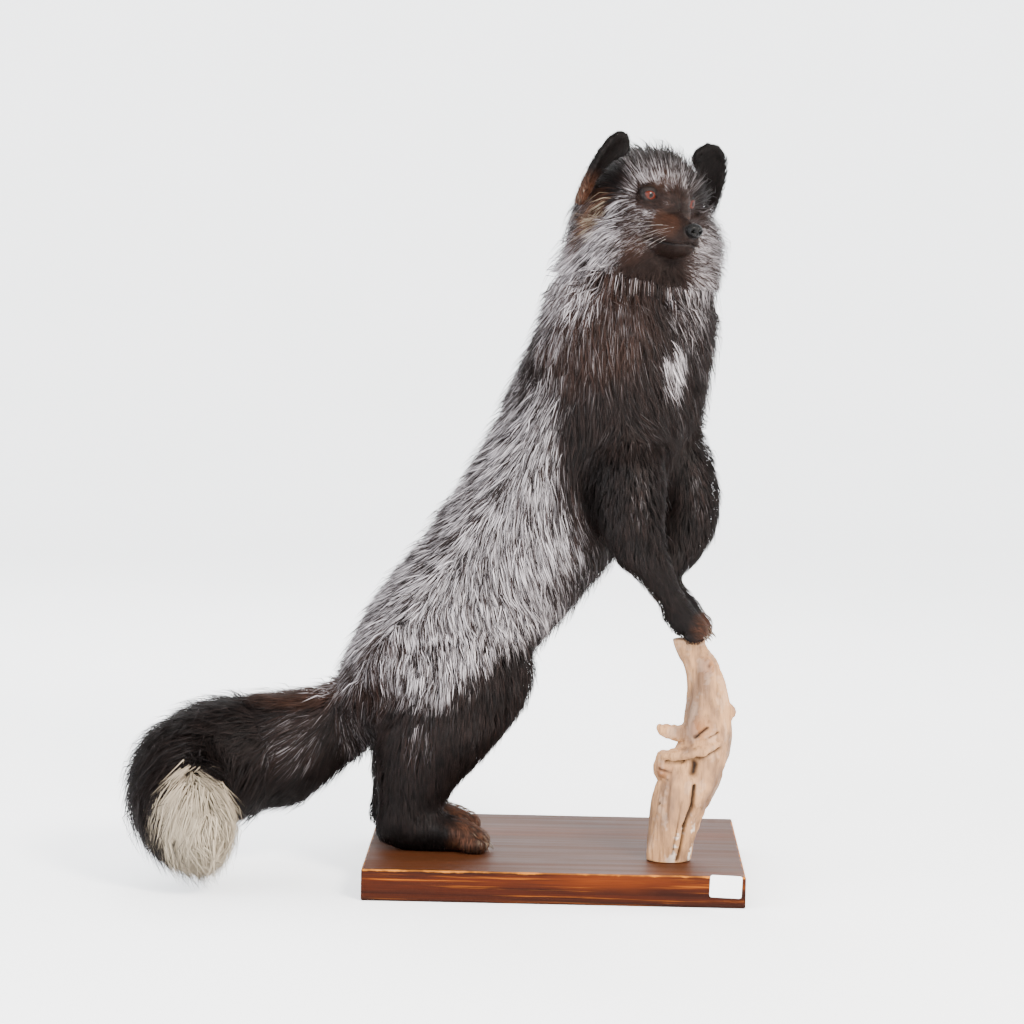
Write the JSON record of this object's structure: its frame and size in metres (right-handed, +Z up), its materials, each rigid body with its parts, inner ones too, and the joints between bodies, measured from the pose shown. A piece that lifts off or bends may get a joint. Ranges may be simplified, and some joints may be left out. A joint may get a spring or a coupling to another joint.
{
  "type": "taxidermy fox",
  "caption": "Mounted silver fox standing upright on its hind feet, forepaws on a driftwood stump, thick frosted coat, pale tail tip, on a rectangular stained wood base",
  "frame": {"origin": "centre of the base board's underside", "axes": "+Z up; +X is the way the fox's body faces, towards the stump; -Y is the front, the side that the head looks to"},
  "size_m": [0.7899, 0.4724, 0.9621],
  "materials": {
    "fur": "dense fox coat: dark brown-black underfur with silver-banded guard hairs, white tail tip",
    "skin": "tanned hide under the coat, seen at the eyelids, lips, pads and toes",
    "nose_leather": "black, pebbled, slightly glossy nose pad",
    "eye_glass": "polished glass eye, amber-red iris round a dark pupil",
    "claw_horn": "dark horn claws and pale whiskers, semi-gloss",
    "base_wood": "dark red-brown stained softwood board, satin varnish, worn golden front edge",
    "driftwood": "bare weathered driftwood, pale tan with grey cracks, matt",
    "label_card": "blank white card sticker with round corners"
  },
  "bodies": {
    "root": {"base_board": "base_wood", "base_label": "label_card", "driftwood": "driftwood", "head": "fur", "nose": "nose_leather", "ear_left": "fur", "ear_right": "fur", "eye_left": "eye_glass", "eye_right": "eye_glass", "neck": "fur", "chest": "fur", "trunk": "fur", "rump": "fur", "tail_root": "fur", "tail_middle": "fur", "tail_end": "fur", "tail_tip": "fur", "upper_arm_left": "fur", "upper_arm_right": "fur", "forearm_left": "fur", "forearm_right": "fur", "forepaw_left": "fur", "forepaw_right": "fur", "hind_thigh_left": "fur", "hind_thigh_right": "fur", "hind_shank_left": "fur", "hind_shank_right": "fur", "hind_paw_left": "fur", "hind_paw_right": "fur"}
  },
  "joints": []
}
